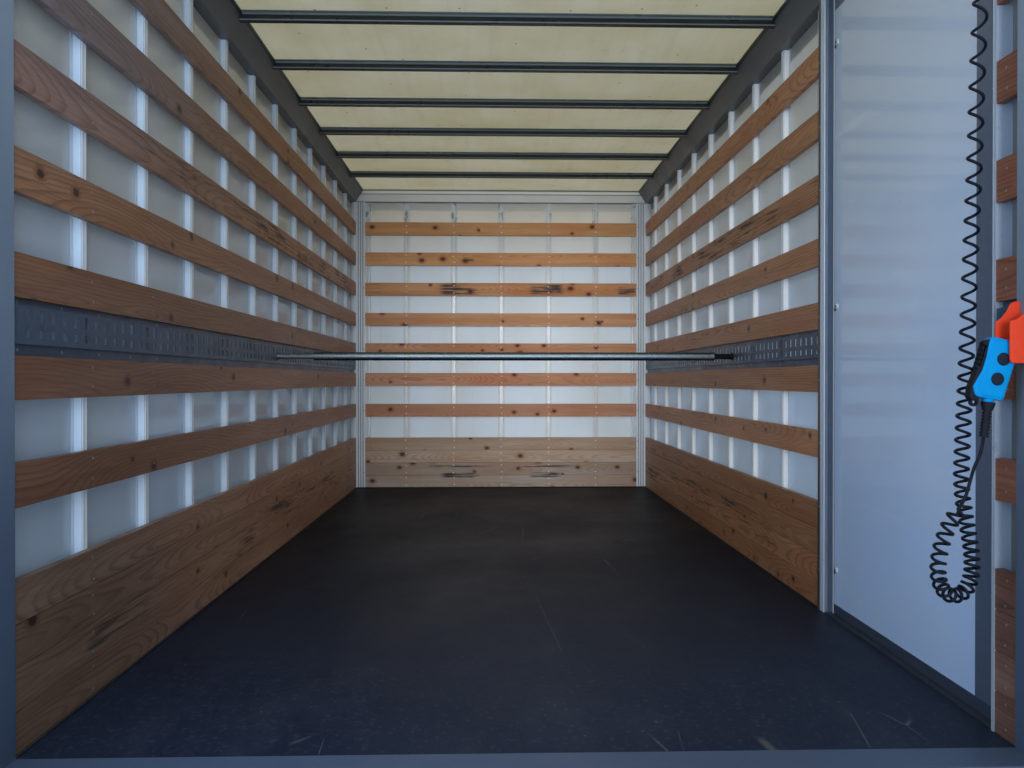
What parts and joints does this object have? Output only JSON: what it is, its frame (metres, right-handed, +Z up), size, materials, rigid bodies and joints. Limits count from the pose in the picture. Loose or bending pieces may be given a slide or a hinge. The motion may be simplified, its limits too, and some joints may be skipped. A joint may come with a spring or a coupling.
{
  "type": "truck box body",
  "caption": "Dry-freight box body of a box truck with lathed walls, load rails, translucent roof, side door, rear swing doors and corded lift control.",
  "frame": {"origin": "underside of the subframe's middle crosspiece, where the body sits on the chassis, at half the body's length", "axes": "+X to the right, +Y forward to the cab, +Z up"},
  "size_m": [2.708, 6.24, 2.719],
  "materials": {
    "painted_steel": "satin paint",
    "galvanised": "dull zinc coat",
    "deck": "dark anti-slip film",
    "aluminium_rail": "mill finish",
    "white_sheet": "gloss white",
    "stud_aluminium": "pale coated",
    "lath_wood": "varnished softwood",
    "grey_trim": "satin grey",
    "translucent": "translucent glass-fibre sheet",
    "rear_frame": "grey-blue paint",
    "zinc_bright": "bright zinc",
    "lamp": "coloured lens",
    "control_blue": "smooth",
    "control_black": "matt",
    "holder_orange": "moulded",
    "cord_black": "satin"
  },
  "bodies": {
    "root": {"subframe_rails": "painted_steel", "subframe_crosspieces": "painted_steel", "chassis_brackets": "painted_steel", "floor_crossmembers": "galvanised", "floor_deck": "deck", "edge_rails": "aluminium_rail", "front_sill": "aluminium_rail", "left_wall_skin": "white_sheet", "right_wall_skins": "white_sheet", "front_wall_skin": "white_sheet", "left_studs": "stud_aluminium", "right_studs": "stud_aluminium", "front_studs": "stud_aluminium", "left_laths": "lath_wood", "right_laths": "lath_wood", "front_laths": "lath_wood", "left_kickboard": "lath_wood", "right_kickboards": "lath_wood", "front_kickboard": "lath_wood", "load_rails": "galvanised", "corner_posts": "aluminium_rail", "cant_rails": "grey_trim", "front_header": "white_sheet", "roof_skin": "translucent", "roof_bows": "galvanised", "rear_posts": "rear_frame", "rear_header": "rear_frame", "rear_sill": "rear_frame", "side_door_jambs": "aluminium_rail", "side_door_sill": "aluminium_rail", "side_hinge_plates": "zinc_bright", "rear_hinge_brackets": "zinc_bright", "door_keepers": "zinc_bright", "marker_lamps": "lamp", "load_bar_tube": "galvanised", "load_bar_ends": "galvanised", "control_holder": "holder_orange", "control_handset": "control_blue", "control_grip": "control_black", "control_buttons": "control_black", "control_strain_relief": "control_black", "cord_gland": "control_black", "cord_coil": "cord_black", "cord_lead": "cord_black"},
    "side_door": {"side_door_leaf": "white_sheet", "side_door_hinges": "zinc_bright", "side_door_handle": "control_black"},
    "rear_door_left": {"rear_door_left_leaf": "white_sheet", "rear_door_left_hinges": "zinc_bright", "rear_door_left_lock_bars": "zinc_bright", "rear_door_left_lock_guides": "zinc_bright"},
    "rear_door_right": {"rear_door_right_leaf": "white_sheet", "rear_door_right_hinges": "zinc_bright", "rear_door_right_lock_bars": "zinc_bright", "rear_door_right_lock_guides": "zinc_bright"}
  },
  "joints": [
    {"name": "rear_door_right_hinge", "type": "hinge", "parent": "root", "child": "rear_door_right", "pos_m": [1.32, -2.471, 0.204], "axis": [0, 0, 1], "range_deg": [-90, 180]},
    {"name": "rear_door_left_hinge", "type": "hinge", "parent": "root", "child": "rear_door_left", "pos_m": [-1.32, -2.471, 0.204], "axis": [0, 0, -1], "range_deg": [-90, 180]},
    {"name": "side_door_hinge", "type": "hinge", "parent": "root", "child": "side_door", "pos_m": [1.289, -1.183, 0.204], "axis": [0, 0, 1], "range_deg": [0, 180]}
  ]
}
